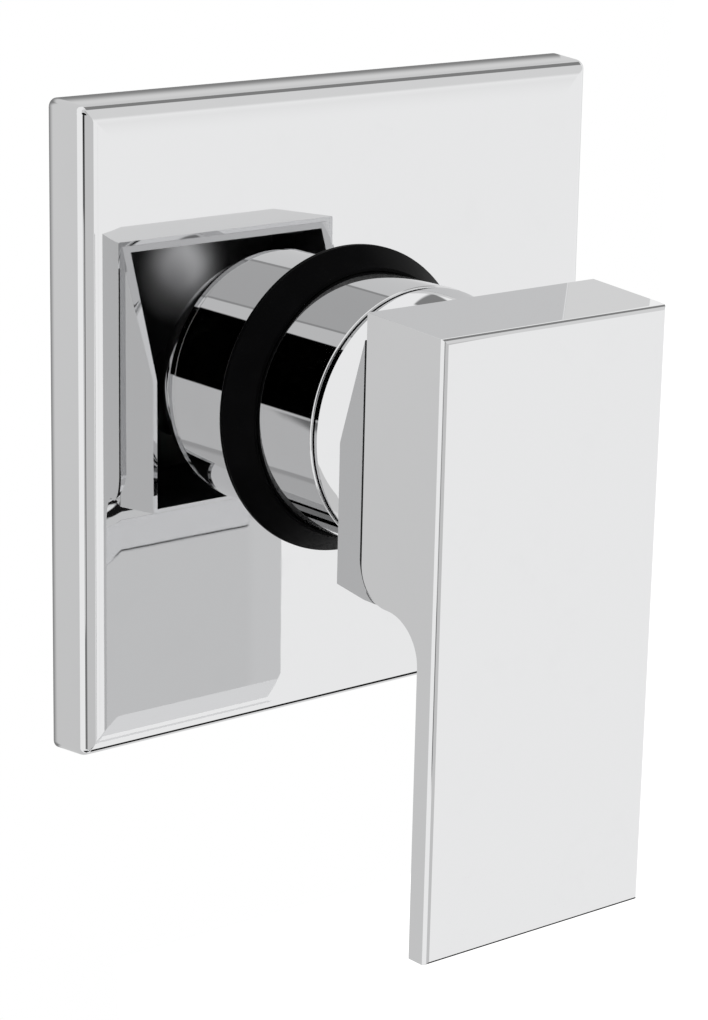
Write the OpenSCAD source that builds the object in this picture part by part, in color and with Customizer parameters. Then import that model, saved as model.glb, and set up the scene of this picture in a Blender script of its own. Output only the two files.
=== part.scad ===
// Concealed single-lever shower mixer: square trim plate, sleeve, lever handle, ceramic disc cartridge
// and the brass valve body that sits in the wall.
// Millimetres. The origin is the centre of the plate's wall side. +X is right, +Y into the wall, +Z up.

/* [Trim plate] */
// Side of the square plate, at the wall
plate_side = 120; // [100:1:160]
// How far the plate stands off the wall
plate_depth = 10; // [9:0.5:12]
// Thickness of the plate's front and sides
plate_wall = 2.5; // [1.5:0.1:3]
// How much each side of the plate leans in towards the front
plate_draft = 0.6; // [0.2:0.1:1.2]
// Rounding of the plate's front edge
plate_edge_r = 2.7; // [1:0.1:4]
// Rounding of the plate's four corners, seen from the front
plate_corner_r = 1.5; // [0.5:0.5:6]
// Width of the foam gasket that lines the plate's rim
gasket_w = 8; // [4:1:12]

/* [Sleeve and rubber ring] */
// Wall of the chromed sleeve
sleeve_wall = 2.5; // [1.5:0.1:2.6]
// Rounding of the sleeve's front edge
sleeve_edge_r = 0.4; // [0.2:0.1:1]
// Distance of the sleeve's front end from the wall
sleeve_front = 31.1; // [29.6:0.1:31.6]
// How far the sleeve reaches into the wall
sleeve_back = 6; // [2:0.5:9]
// How far the rubber ring stands out around the sleeve, at the plate
ring_w = 4.3; // [3:0.1:8]
// Length of the rubber ring's cone in front of the plate
ring_t = 5.1; // [3:0.1:8]
// Thickness of the cone's rim, at the plate
ring_rim_h = 0.5; // [0.3:0.1:1.5]
// Width of the cone's narrow front end
ring_nose_w = 0.6; // [0.4:0.1:2]
// Rubber between the sleeve and the edge of the plate's hole
ring_neck_w = 1.8; // [1:0.1:2.5]
// How far the ring's lip grips behind the plate's hole
ring_lip_w = 1.7; // [0.8:0.1:3]
// Thickness of that lip
ring_lip_t = 1.5; // [1:0.1:2]

/* [Cap] */
// Height of the recessed rim between the sleeve and the dome
cap_rim_h = 1.5; // [0.8:0.1:2]
// Depth of that recess, measured in from the sleeve's surface
cap_rim_inset = 0.5; // [0.2:0.1:1]
// Wall of the domed cap
dome_wall = 1.5; // [1:0.1:2]
// Radius of the hole in the dome that the spindle swings in
dome_hole_r = 12.5; // [11.5:0.1:14]
// Length of the cap's spigot inside the sleeve
spigot_h = 5; // [3:0.1:5.6]
// Wall of that spigot
spigot_wall = 1.2; // [0.8:0.1:1.6]

/* [Handle] */
// Width of the handle at its front
handle_w = 52; // [51.6:0.2:70]
// Distance of the handle's front face from the wall
handle_out = 68; // [67:0.5:72]
// How far the lever reaches below the mixer's axis
lever_drop = 88.4; // [60:0.2:130]
// Height of the handle's head above the axis, at its front
head_top = 25.3; // [25:0.1:32]
// How far the head reaches below the axis
head_bottom = 25.5; // [25.2:0.1:28]
// How much the handle widens from its front to its back, on each side
handle_draft = 0.5; // [0:0.1:1]
// How much the head's top rises towards its back
top_rise = 1.2; // [0:0.1:2]
// Depth of the head's front block, from the front face to the step behind it
block_depth = 20; // [17:0.5:22]
// Thickness of the lever below the head
lever_t = 4.6; // [3.5:0.1:8]
// Radius of the hollow curve between the head's underside and the lever
under_r = 8.4; // [4:0.2:9]
// Radius of the block's lower back corner
block_corner_r = 6.8; // [3:0.2:8]
// Rounding of the front edges
handle_edge_r = 1.1; // [0.5:0.1:2.5]
// Step from the block's sides in to the skirt behind it
skirt_step = 0.9; // [0.3:0.1:1.2]
// How much the skirt narrows from the block to its rim, on each side
skirt_taper = 1.3; // [0:0.1:1.4]
// Depth of the skirt at its lower half
skirt_depth = 9.5; // [6:0.1:9.6]
// Height above the axis where the skirt's rim begins to slope away
rim_bend = 1; // [-4:0.5:6]
// How much the head's hollow narrows towards its floor, on each side
hollow_taper = 0.6; // [0:0.1:4]
// Wall of the skirt at its top and bottom
skirt_wall = 1.2; // [1:0.1:2.2]
// Wall of the skirt at its sides, at the rim
skirt_side_wall = 0.9; // [0.7:0.1:1.2]
// Thickness of the head's front wall
head_front_wall = 5; // [3:0.1:6]
// Degrees that the handle leans out at its top
handle_lean = 0.4; // [0:0.1:1]
// Radius of the hub that holds the spindle
hub_r = 9.5; // [8:0.1:11]
// Radius of the small plug that hides the grub screw
plug_r = 3.2; // [3:0.1:4]
// Length of that plug
plug_h = 3; // [2:0.1:3.2]

/* [Spindle and rotor] */
// Distance of the lever's pivot from the wall
pivot_out = 25; // [24.8:0.1:25.6]
// Side of the square spindle
spindle_w = 8; // [6:0.1:8.4]
// Length of the spindle in front of the pivot
spindle_len = 38; // [35:0.5:38.5]
// Degrees that the spindle leans down when the valve is shut
spindle_tilt = 12.5; // [8:0.5:13]
// Radius of the spindle's lower rod
rod_r = 2.2; // [1.5:0.1:2.3]
// Radius of the ball at the rod's end
ball_r = 3; // [2.6:0.1:3.2]
// Radius of the pivot pin
pin_r = 1.5; // [1:0.1:2]
// Length of the pivot pin
pin_len = 20; // [16:0.5:21]
// Radius of the rotor's stem
rotor_r = 11.5; // [11:0.1:12]
// Radius of the rotor's flange
rotor_flange_r = 14.5; // [13.5:0.1:15]
// Thickness of the rotor's flange
rotor_flange_h = 2.7; // [2.2:0.1:3]
// How far the rotor's stem stands out of the cartridge's neck
rotor_proud = 0.95; // [0.5:0.05:1.4]
// Radius of the grub screw
grub_r = 2.5; // [2:0.1:2.6]
// Distance of the grub screw from the spindle's front end
grub_in = 5; // [4:0.1:5.5]

/* [Cartridge] */
// Outer radius of the cartridge
cartridge_r = 17.4; // [17:0.1:17.6]
// Wall of the cartridge's housing round the discs
housing_wall = 2; // [1.6:0.1:2.1]
// Wall of the housing's neck round the rotor's stem
housing_neck_wall = 3.42; // [3:0.02:3.8]
// Thickness of the housing's shoulder
housing_shoulder_h = 2.7; // [2:0.1:3]
// Length of the housing's neck
housing_neck_h = 13; // [12:0.1:13.4]
// Thickness of the cartridge's base
base_h = 5; // [4.5:0.1:6]
// Thickness of the fixed ceramic disc
fixed_disc_h = 4; // [3:0.1:4.2]
// Thickness of the sliding ceramic disc
moving_disc_h = 2.95; // [2.5:0.05:3.1]
// Radius of the sliding ceramic disc
moving_disc_r = 11.6; // [11:0.1:11.7]
// Height of the slider that carries the sliding disc
slider_h = 6; // [5:0.1:6.1]
// Radius of each water port in the discs
port_r = 2.5; // [2:0.1:2.7]
// Sideways distance of the two inlet ports from the axis
inlet_port_x = 4.9; // [4.7:0.1:5.2]
// Distance of the two inlet ports below the axis
inlet_port_low = 2.9; // [2.7:0.1:3.4]
// Distance of the outlet port above the axis
outlet_port_high = 5; // [4.6:0.1:5.6]
// Radius of the mixing pocket in the sliding disc
pocket_r = 3.1; // [2.6:0.1:3.4]
// Depth of that pocket
pocket_h = 1.6; // [1:0.1:2]
// Cord thickness of the cartridge's small port seals
port_seal_t = 1.5; // [1.2:0.1:1.6]
// Degrees that the handle turns from the middle to full hot or full cold
temperature_swing = 50; // [35:1:60]

/* [Valve body] */
// Distance of the cartridge's seat behind the wall
seat_back = 6; // [5.8:0.1:6.4]
// Wall of the body's neck round the ring nut's thread
neck_wall = 2.45; // [2:0.05:2.6]
// Depth of the ring nut's thread
thread_h = 5; // [4:0.1:6]
// Wall of the ring nut's threaded part, beyond the cartridge's neck
nut_thread_w = 1.6; // [1.4:0.05:1.8]
// Thickness of the ring nut's flange
nut_flange_h = 2; // [1.5:0.1:3]
// Height of the ring nut's hexagon
nut_hex_h = 3.5; // [2:0.1:5]
// Radius of the ring nut's hexagon, to its corners
nut_hex_r = 19.5; // [18.4:0.1:20.5]
// Radial gap between the neck and the sleeve, where the O-rings seal
seal_gap = 1; // [0.8:0.05:1.2]
// Distance of the pipe axes behind the wall
pipe_depth = 26; // [25:0.5:40]
// Reach of the inlets and the outlet from the axis
pipe_reach = 48; // [44:1:70]
// Radius of each pipe boss
boss_r = 13.5; // [12:0.1:14]
// Radius of the threaded hole for a half-inch pipe
thread_r = 9.3; // [8:0.1:10]
// Length of that threaded hole
thread_len = 14; // [10:0.5:18]
// Radius of the water channels
channel_r = 5.5; // [4:0.1:5.6]
// Metal behind the pipe bosses
back_wall = 1.5; // [1:0.1:4]
// Distance between neighbouring fixing holes
lug_pitch = 48; // [46:0.5:56]
// Radius of a fixing lug
lug_r = 6.5; // [5.5:0.1:8]
// Width of the arms that carry the lugs
lug_arm_w = 10; // [6:0.5:10.5]
// Thickness of the fixing lugs
lug_t = 4; // [3:0.1:6]
// Radius of a fixing hole
lug_hole_r = 2.75; // [2:0.05:3.2]

/* [Hidden] */
$fn = 96;

// Clearance between pieces that are assembled tight
snug = 0.05;
// Clearance between a shaft and the hole it turns in
turn_fit = 0.08;
// Clearance between pieces that move past each other
run_gap = 0.3;
// Clearance of the ball in the slider's slot, along the stroke
ball_play = 0.15;
// Gap between pieces that only stand near each other
small_gap = 0.2;
// Gap between the two ceramic faces
disc_film = 0.05;
// Length that a cutter runs past the face that it opens
cut = 1;

// Cartridge levels, as distances out of the wall
seat_out = -seat_back;
base_top = seat_out + base_h;
fixed_disc_top = base_top + fixed_disc_h;
moving_disc_low = fixed_disc_top + disc_film;
slider_low = moving_disc_low + moving_disc_h;
slider_top = slider_low + slider_h;
rotor_low = slider_top + run_gap;
rotor_flange_top = rotor_low + rotor_flange_h;
cavity_top = rotor_flange_top + run_gap;
shoulder_out = cavity_top + housing_shoulder_h;
housing_top = shoulder_out + housing_neck_h;
rotor_top = housing_top + rotor_proud;
cavity_r = cartridge_r - housing_wall;
fixed_disc_r = cavity_r - small_gap;
stem_bore_r = rotor_r + turn_fit;
housing_neck_r = stem_bore_r + housing_neck_wall;

// Neck, ring nut and sleeve, from the cartridge outwards
cartridge_bore_r = cartridge_r + 3 * snug;
nut_thread_r = cartridge_r + nut_thread_w;
neck_bore_r = nut_thread_r + snug;
neck_r = neck_bore_r + neck_wall;
neck_front = shoulder_out + thread_h;
nut_bore_r = housing_neck_r + 2 * snug;
nut_flange_r = neck_r - small_gap;
sleeve_bore_r = neck_r + seal_gap;
sleeve_r = sleeve_bore_r + sleeve_wall;
ring_r = sleeve_r + ring_w;
ring_bore_r = sleeve_r + snug;
ring_neck_r = sleeve_r + ring_neck_w;
plate_hole_r = ring_neck_r + snug;
plate_inside = plate_depth - plate_wall;

// O-rings
neck_groove = 1;
neck_ring_r = (seal_gap + neck_groove) / 2 - snug;
neck_ring_outs = [4, 14];
rotor_groove = 1.8;
rotor_ring_r = rotor_groove / 2 - snug;
rotor_ring_out = shoulder_out + 2;
port_seal_in = port_r + 0.25;
port_seal_mid = port_seal_in + port_seal_t / 2;
port_seal_bed_r = port_seal_in + port_seal_t + 2 * snug;
port_seal_bed_h = port_seal_t + 2 * snug;

// Dome, centred on the lever's pivot so that the handle clears it at every angle
dome_start = sleeve_front + cap_rim_h;
dome_foot_inset = 0.14;
dome_foot_r = sleeve_r - dome_foot_inset;
dome_r = norm([dome_foot_r, dome_start - pivot_out]);
dome_in_r = dome_r - dome_wall;
cap_rim_r = sleeve_r - cap_rim_inset;
spigot_r = sleeve_bore_r - 2 * snug;

// Handle
half_front = handle_w / 2;
half_back = half_front + handle_draft;
block_back = handle_out - block_depth;
lever_back = handle_out - lever_t;
rim_out = block_back - skirt_depth;
skirt_half = half_back - skirt_step;
rim_half = skirt_half - skirt_taper;
hollow_half = rim_half - skirt_side_wall;
hollow_floor = handle_out - head_front_wall;
hollow_top = head_top + top_rise / 2 - skirt_wall;
hollow_bottom = head_bottom - skirt_wall;
top_rim_lip = 0.2;
top_rim_out = block_back - top_rim_lip;
bottom_rim_step = 0.4;
hub_start = dome_r + 5 * run_gap;
hub_end = (hollow_floor - pivot_out + hub_r * sin(spindle_tilt)) / cos(spindle_tilt);
// How far the skirt's shape runs on inside the front block, beyond that block's rounded back corner
skirt_overlap = 1.2;
skirt_root = block_back + block_corner_r + skirt_overlap;

// Spindle
bar_back = 6;
ball_lift = 0.25;
ball_out = slider_low + slider_h / 2 + ball_lift;
arm = pivot_out - ball_out;
disc_shift = arm * sin(spindle_tilt);
slot_half_x = spindle_w / 2 + run_gap;
swing_above = rotor_top - pivot_out;
swing_below = pivot_out - rotor_low;
slot_half_up = max(swing_above * tan(spindle_tilt) + spindle_w / 2 / cos(spindle_tilt),
                   swing_below * tan(spindle_tilt) + rod_r / cos(spindle_tilt)) + 2 * run_gap;
grub_at = spindle_len - grub_in;
plug_sink = 0.9;
plug_far = (head_bottom - grub_at * sin(spindle_tilt)) / cos(spindle_tilt) - plug_sink;
grub_socket_r = 0.55 * grub_r;

// Guide ribs of the slider, and the grooves of the rotor that they run in
rib_x = 9.5;
rib_w = 2.6;
rib_h = 1.4;
rib_len = 9;

// Mixing pocket in the sliding disc: centres of its two round ends, above the disc's own centre
pocket_ends = [0.8, 4];

// Pegs between the slider and its disc, and between the base and the valve's seat
disc_peg_r = 1.2;
disc_peg_h = 1.4;
disc_peg_x = 8;
seat_peg_r = 1.9;
seat_peg_h = 3;
seat_peg_at = [12, 6];

// Temperature stop
limit_in_r = rotor_r + 2 * small_gap;
limit_out_r = housing_neck_r - small_gap;
limit_h = 2;
lug_half_angle = 8;
lug_play_angle = 1.5;

// Valve body: metal between the outlet's channel and the axis, and between the two inlets' channels
body_back = -(pipe_depth + boss_r + back_wall);
web = 3;
inlet_web = 5.2;
inlet_ports = [[-inlet_port_x, -inlet_port_low], [inlet_port_x, -inlet_port_low]];
outlet_port = [0, outlet_port_high];
ports = concat(inlet_ports, [outlet_port]);

// Colours
chrome = [0.82, 0.83, 0.85];
black_rubber = [0.06, 0.06, 0.07];
brass = [0.78, 0.62, 0.32];
steel = [0.6, 0.61, 0.63];
white_plastic = [0.88, 0.88, 0.86];
grey_plastic = [0.45, 0.47, 0.5];
red_plastic = [0.75, 0.12, 0.1];
ceramic = [0.93, 0.92, 0.88];
foam = [0.2, 0.2, 0.21];

// Turns a piece drawn with X right, Y up and Z out of the wall into the part's frame
module in_wall_frame() rotate([90, 0, 0]) children();

// Extrudes a flat view drawn as [up, out] across the width
module across(width) rotate([90, 0, 90]) linear_extrude(width, center = true) children();

// Extrudes a flat view drawn as [right, out] up and down
module upright(low, high) translate([0, high, 0]) rotate([90, 0, 0]) linear_extrude(high - low) children();

// Revolves a flat view drawn as [radius, out] about the mixer's axis
module turned() rotate_extrude() children();

// A disc or tube about the mixer's axis
module tube(outer, inner, low, high) translate([0, 0, low]) difference() {
  cylinder(r = outer, h = high - low);
  if (inner > 0) translate([0, 0, -cut]) cylinder(r = inner, h = high - low + 2 * cut);
}

// The waste between a square corner and the arc that rounds it. dx and dy point from the arc to the corner
module spandrel(x, y, dx, dy, r) difference() {
  translate([x - (dx > 0 ? r : 0), y - (dy > 0 ? r : 0)]) square(r);
  translate([x - dx * r, y - dy * r]) circle(r);
}

// View of a block that narrows towards its front, with both front corners rounded
module drafted(back_half, front_half, low, high, r) difference() {
  polygon([[-back_half, low], [back_half, low], [front_half, high], [-front_half, high]]);
  for (side = [-1, 1]) mirror([side < 0 ? 1 : 0, 0]) {
    spandrel(front_half, high, 1, 1, r);
    translate([front_half, high - r]) square(r + cut);
  }
}

module rounded_square(side, r) {
  square([side, side - 2 * r], center = true);
  square([side - 2 * r, side], center = true);
  for (x = [-1, 1], y = [-1, 1]) translate([x * (side / 2 - r), y * (side / 2 - r)]) circle(r);
}

// O-ring about the mixer's axis
module o_ring(mid, r, out) turned() translate([mid, out]) circle(r);

// Places a child in the spindle's own frame: Z along the spindle from the pivot, Y up
module on_spindle() translate([0, 0, pivot_out]) rotate([spindle_tilt, 0, 0]) children();

// Places a child at the grub screw's axis, with Z running from the spindle's axis down and out of the head
module on_grub() on_spindle() translate([0, 0, grub_at]) rotate([90, 0, 0]) children();

module wall_plate() color(chrome) in_wall_frame() difference() {
  half = plate_side / 2;
  intersection() {
    across(2 * plate_side) drafted(half, half - plate_draft, 0, plate_depth, plate_edge_r);
    upright(-plate_side, plate_side) drafted(half, half - plate_draft, 0, plate_depth, plate_edge_r);
    linear_extrude(plate_depth) rounded_square(plate_side, plate_corner_r);
  }
  translate([0, 0, plate_inside / 2 - cut / 2])
    cube([plate_side - 2 * (plate_wall + plate_draft), plate_side - 2 * (plate_wall + plate_draft),
          plate_inside + cut], center = true);
  cylinder(r = plate_hole_r, h = plate_depth + cut);
}

module plate_gasket() color(foam) in_wall_frame() {
  outer = plate_side - 2 * (plate_wall + plate_draft) - 4 * snug;
  linear_extrude(plate_inside) difference() {
    square(outer, center = true);
    square(outer - 2 * gasket_w, center = true);
  }
}

module sleeve_ring() color(black_rubber) in_wall_frame() turned() {
  polygon([[ring_bore_r, plate_depth], [ring_r, plate_depth], [ring_r, plate_depth + ring_rim_h],
    [ring_bore_r + ring_nose_w, plate_depth + ring_t], [ring_bore_r, plate_depth + ring_t]]);
  translate([ring_bore_r, plate_inside - ring_lip_t])
    square([ring_neck_w - snug, plate_wall + ring_lip_t]);
  translate([ring_bore_r, plate_inside - ring_lip_t])
    square([ring_neck_w - snug + ring_lip_w, ring_lip_t]);
}

module sleeve() color(chrome) in_wall_frame() turned() difference() {
  translate([sleeve_bore_r, -sleeve_back]) square([sleeve_wall, sleeve_front + sleeve_back]);
  spandrel(sleeve_r, sleeve_front, 1, 1, sleeve_edge_r);
}

module dome_cap() color(chrome) in_wall_frame() turned() {
  difference() {
    translate([0, pivot_out]) circle(dome_r);
    translate([0, pivot_out]) circle(dome_in_r);
    translate([-2 * dome_r, dome_start - 4 * dome_r]) square([4 * dome_r, 4 * dome_r]);
    translate([-2 * dome_r, 0]) square([2 * dome_r + dome_hole_r, 4 * dome_r]);
  }
  translate([spigot_r - spigot_wall, sleeve_front])
    square([cap_rim_r - spigot_r + spigot_wall, cap_rim_h]);
  translate([spigot_r - spigot_wall, sleeve_front - spigot_h])
    square([spigot_wall, spigot_h + cap_rim_h]);
}

module neck_o_rings() color(black_rubber) in_wall_frame()
  for (out = neck_ring_outs) o_ring(neck_r - neck_groove + neck_ring_r + snug, neck_ring_r, out);

module ring_nut() color(brass) in_wall_frame() difference() {
  union() {
    tube(nut_thread_r, 0, shoulder_out, neck_front);
    tube(nut_flange_r, 0, neck_front, neck_front + nut_flange_h);
    translate([0, 0, neck_front]) cylinder(r = nut_hex_r, h = nut_flange_h + nut_hex_h, $fn = 6);
  }
  tube(nut_bore_r, 0, shoulder_out - cut, neck_front + nut_flange_h + nut_hex_h + cut);
}

// One pipe connection: the boss, drawn along +Z from the mixer's axis
module pipe_boss() cylinder(r = boss_r, h = pipe_reach);

// The threaded mouth and the channel behind it, along +Z, down to the given distance from the axis
module pipe_bore(channel_end) {
  translate([0, 0, pipe_reach - thread_len]) cylinder(r = thread_r, h = thread_len + cut);
  translate([0, 0, channel_end]) cylinder(r = channel_r, h = pipe_reach - channel_end);
}

// Turns +Z into the direction of a pipe, at the pipes' depth in the wall
module at_pipe(direction) translate([0, 0, -pipe_depth])
  rotate(direction == "left" ? [0, -90, 0] : direction == "right" ? [0, 90, 0] : [-90, 0, 0]) children();

// Slanted channel from the seat's outlet port to the outlet pipe's channel
module outlet_drill() {
  drop = pipe_depth - seat_back;
  run = channel_r + web;
  angle = atan(run / drop);
  translate([0, outlet_port_high, seat_out]) rotate([180 - angle, 0, 0])
    translate([0, 0, -web]) cylinder(r = port_r, h = drop / cos(angle) + web);
}

module fixing_lugs() translate([0, 0, body_back]) linear_extrude(lug_t) {
  for (angle = [45, -45]) rotate(angle) square([lug_pitch * sqrt(2), lug_arm_w], center = true);
  for (x = [-1, 1], y = [-1, 1]) translate([x, y] * lug_pitch / 2) circle(lug_r);
}

module valve_body() color(brass) in_wall_frame() difference() {
  union() {
    tube(neck_r, 0, body_back, neck_front);
    for (direction = ["left", "right", "top"]) at_pipe(direction) pipe_boss();
    fixing_lugs();
  }
  tube(cartridge_bore_r, 0, seat_out, neck_front + cut);
  tube(neck_bore_r, 0, shoulder_out, neck_front + cut);
  for (out = neck_ring_outs) turned() translate([neck_r - neck_groove, out - neck_ring_r - snug])
    square([neck_groove + cut, 2 * (neck_ring_r + snug)]);
  for (direction = ["left", "right"]) at_pipe(direction) pipe_bore(inlet_web / 2);
  at_pipe("top") pipe_bore(channel_r + web);
  for (port = inlet_ports) translate([port.x, port.y, -pipe_depth])
    cylinder(r = port_r, h = pipe_depth - seat_back + cut);
  outlet_drill();
  for (side = [-1, 1]) translate([side * seat_peg_at.x, seat_peg_at.y, seat_out - seat_peg_h - snug])
    cylinder(r = seat_peg_r + snug, h = seat_peg_h + cut);
  for (x = [-1, 1], y = [-1, 1]) translate([x * lug_pitch / 2, y * lug_pitch / 2, body_back - cut])
    cylinder(r = lug_hole_r, h = lug_t + 2 * cut);
}

module cartridge_base() color(grey_plastic) in_wall_frame() difference() {
  union() {
    tube(cartridge_r - snug, 0, seat_out, base_top);
    for (side = [-1, 1]) translate([side * seat_peg_at.x, seat_peg_at.y, seat_out - seat_peg_h])
      cylinder(r = seat_peg_r, h = seat_peg_h + cut);
  }
  for (port = ports) translate([port.x, port.y, 0]) {
    tube(port_r, 0, seat_out - cut, base_top + cut);
    tube(port_seal_bed_r, 0, seat_out - cut, seat_out + port_seal_bed_h);
    tube(port_seal_bed_r, 0, base_top - port_seal_bed_h, base_top + cut);
  }
}

// Three small seals, one round each port
module port_seals(out) color(black_rubber) in_wall_frame()
  for (port = ports) translate([port.x, port.y, 0]) o_ring(port_seal_mid, port_seal_t / 2, out);

module base_seals() port_seals(seat_out + port_seal_bed_h / 2);

module disc_seals() port_seals(base_top - port_seal_bed_h / 2);

module fixed_disc() color(ceramic) in_wall_frame() difference() {
  tube(fixed_disc_r, 0, base_top, fixed_disc_top);
  for (port = ports) translate([port.x, port.y, 0]) tube(port_r, 0, base_top - cut, fixed_disc_top + cut);
}

module cartridge_housing() color(white_plastic) in_wall_frame() turned() {
  translate([cavity_r, base_top]) square([housing_wall, shoulder_out - base_top]);
  translate([stem_bore_r, cavity_top]) square([cartridge_r - stem_bore_r, housing_shoulder_h]);
  translate([stem_bore_r, cavity_top]) square([housing_neck_r - stem_bore_r, housing_top - cavity_top]);
}

// A wedge about the axis, as wide as the given half angle on each side of straight up
module wedge(half_angle, reach) {
  far = reach / cos(half_angle / 2);
  polygon([[0, 0], far * [sin(-half_angle), cos(-half_angle)], far * [sin(-half_angle / 2), cos(-half_angle / 2)],
           far * [0, 1], far * [sin(half_angle / 2), cos(half_angle / 2)], far * [sin(half_angle), cos(half_angle)]]);
}

module hot_limit_ring() color(red_plastic) in_wall_frame() translate([0, 0, housing_top])
  linear_extrude(limit_h) difference() {
    circle(limit_out_r);
    circle(limit_in_r);
    wedge(temperature_swing + lug_half_angle + lug_play_angle, 2 * limit_out_r);
  }

module rotor() color(white_plastic) in_wall_frame() difference() {
  union() {
    tube(rotor_flange_r, 0, rotor_low, rotor_flange_top);
    tube(rotor_r, 0, rotor_low, rotor_top);
    translate([0, 0, housing_top + run_gap]) linear_extrude(rotor_proud - run_gap) intersection() {
      circle(limit_out_r - 2 * run_gap);
      wedge(lug_half_angle, 2 * limit_out_r);
    }
  }
  translate([0, 0, (rotor_low + rotor_top) / 2])
    cube([2 * slot_half_x, 2 * slot_half_up, rotor_top - rotor_low + 2 * cut], center = true);
  translate([0, 0, pivot_out]) rotate([0, 90, 0])
    cylinder(r = pin_r + snug / 2, h = pin_len + 2 * snug, center = true);
  turned() translate([rotor_r - rotor_groove, rotor_ring_out - rotor_groove / 2])
    square([rotor_groove + cut, rotor_groove]);
  for (side = [-1, 1]) translate([side * rib_x, 0, rotor_low])
    cube([rib_w + 2 * run_gap, 4 * rotor_flange_r, 2 * (rib_h + snug)], center = true);
}

module rotor_o_ring() color(black_rubber) in_wall_frame()
  o_ring(rotor_r - rotor_groove / 2 - snug, rotor_ring_r, rotor_ring_out);

module pivot_pin() color(steel) in_wall_frame() translate([0, 0, pivot_out]) rotate([0, 90, 0])
  cylinder(r = pin_r, h = pin_len, center = true);

module moving_disc() color(ceramic) in_wall_frame() translate([0, disc_shift, 0]) difference() {
  tube(moving_disc_r, 0, moving_disc_low, slider_low);
  translate([0, 0, moving_disc_low - cut]) linear_extrude(pocket_h + cut) {
    for (end = pocket_ends) translate([0, end]) circle(pocket_r);
    translate([-pocket_r, pocket_ends[0]]) square([2 * pocket_r, pocket_ends[1] - pocket_ends[0]]);
  }
  for (side = [-1, 1]) translate([side * disc_peg_x, 0, slider_low - disc_peg_h - snug])
    cylinder(r = disc_peg_r + snug, h = disc_peg_h + cut);
}

module disc_slider() color(grey_plastic) in_wall_frame() translate([0, disc_shift, 0]) difference() {
  union() {
    tube(moving_disc_r, 0, slider_low, slider_top);
    for (side = [-1, 1]) {
      translate([side * disc_peg_x, 0, slider_low - disc_peg_h]) cylinder(r = disc_peg_r, h = disc_peg_h + cut);
      translate([side * rib_x - rib_w / 2, -rib_len / 2, slider_top - cut]) cube([rib_w, rib_len, rib_h + cut]);
    }
  }
  translate([0, 0, (slider_low + slider_top) / 2])
    cube([2 * (ball_r + run_gap), 2 * (ball_r + ball_play), slider_h + 2 * cut], center = true);
}

module spindle() color(steel) in_wall_frame() on_spindle() difference() {
  union() {
    translate([-spindle_w / 2, -spindle_w / 2, -bar_back]) cube([spindle_w, spindle_w, bar_back + spindle_len]);
    translate([0, 0, -arm]) cylinder(r = rod_r, h = arm);
    translate([0, 0, -arm]) sphere(ball_r);
  }
  rotate([0, 90, 0]) cylinder(r = pin_r + turn_fit, h = 2 * spindle_w, center = true);
}

// Side view of the handle's front block and lever, as [up, out]
module handle_side() {
  front = handle_out;
  difference() {
    polygon([[-head_bottom, block_back], [head_top + top_rise, block_back], [head_top, front], [-head_bottom, front]]);
    spandrel(-head_bottom, block_back, -1, -1, block_corner_r);
    spandrel(head_top, front, 1, 1, handle_edge_r);
    translate([head_top, front - handle_edge_r]) square(handle_edge_r + cut);
  }
  difference() {
    translate([-lever_drop, lever_back]) square([lever_drop, lever_t]);
    spandrel(-lever_drop, front, -1, 1, handle_edge_r);
  }
  spandrel(-head_bottom, lever_back, 1, 1, under_r);
}

module handle_block() intersection() {
  across(3 * handle_w) handle_side();
  upright(-2 * lever_drop, 2 * lever_drop)
    drafted(half_back, half_front, block_back, handle_out, handle_edge_r);
}

module handle_skirt() intersection() {
  across(3 * handle_w) polygon([[head_top + top_rise - skirt_step, skirt_root],
    [head_top + top_rise - skirt_step, top_rim_out], [rim_bend, rim_out],
    [-head_bottom + bottom_rim_step, rim_out], [-head_bottom, block_back], [-head_bottom, skirt_root]]);
  upright(-2 * lever_drop, 2 * lever_drop) polygon([[-rim_half, rim_out - cut], [rim_half, rim_out - cut],
    [skirt_half, block_back], [skirt_half, skirt_root], [-skirt_half, skirt_root], [-skirt_half, block_back]]);
}

// Four-sided hollow that takes the dome
module handle_hollow() intersection() {
  across(3 * handle_w) polygon([[-hollow_bottom, rim_out - cut], [hollow_top, rim_out - cut],
    [hollow_top - hollow_taper, hollow_floor], [-hollow_bottom + hollow_taper, hollow_floor]]);
  upright(-2 * lever_drop, 2 * lever_drop) polygon([[-hollow_half, rim_out - cut], [hollow_half, rim_out - cut],
    [hollow_half - hollow_taper, hollow_floor], [-hollow_half + hollow_taper, hollow_floor]]);
}

// Leans a child out at its top about the pivot
module leaned() translate([0, 0, pivot_out]) rotate([handle_lean, 0, 0]) translate([0, 0, -pivot_out]) children();

module lever_handle() color(chrome) in_wall_frame() difference() {
  union() {
    leaned() difference() {
      union() {
        handle_block();
        handle_skirt();
      }
      handle_hollow();
    }
    on_spindle() translate([0, 0, hub_start]) cylinder(r = hub_r, h = hub_end - hub_start);
  }
  on_spindle() translate([0, 0, hub_start - cut]) linear_extrude(spindle_len + 2 * snug - hub_start + cut)
    square(spindle_w + 2 * snug, center = true);
  on_grub() cylinder(r = grub_r + snug, h = hub_r + cut);
  on_grub() translate([0, 0, hub_r + cut]) cylinder(r = plug_r + snug, h = 2 * head_bottom);
}

module grub_screw() color(steel) in_wall_frame() on_grub() difference() {
  translate([0, 0, spindle_w / 2 + snug]) cylinder(r = grub_r, h = hub_r - spindle_w / 2 - 2 * snug);
  translate([0, 0, hub_r - grub_r]) cylinder(r = grub_socket_r, h = grub_r + cut, $fn = 6);
}

module screw_plug() color(grey_plastic) in_wall_frame() on_grub()
  translate([0, 0, plug_far - plug_h]) cylinder(r = plug_r, h = plug_h);

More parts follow.
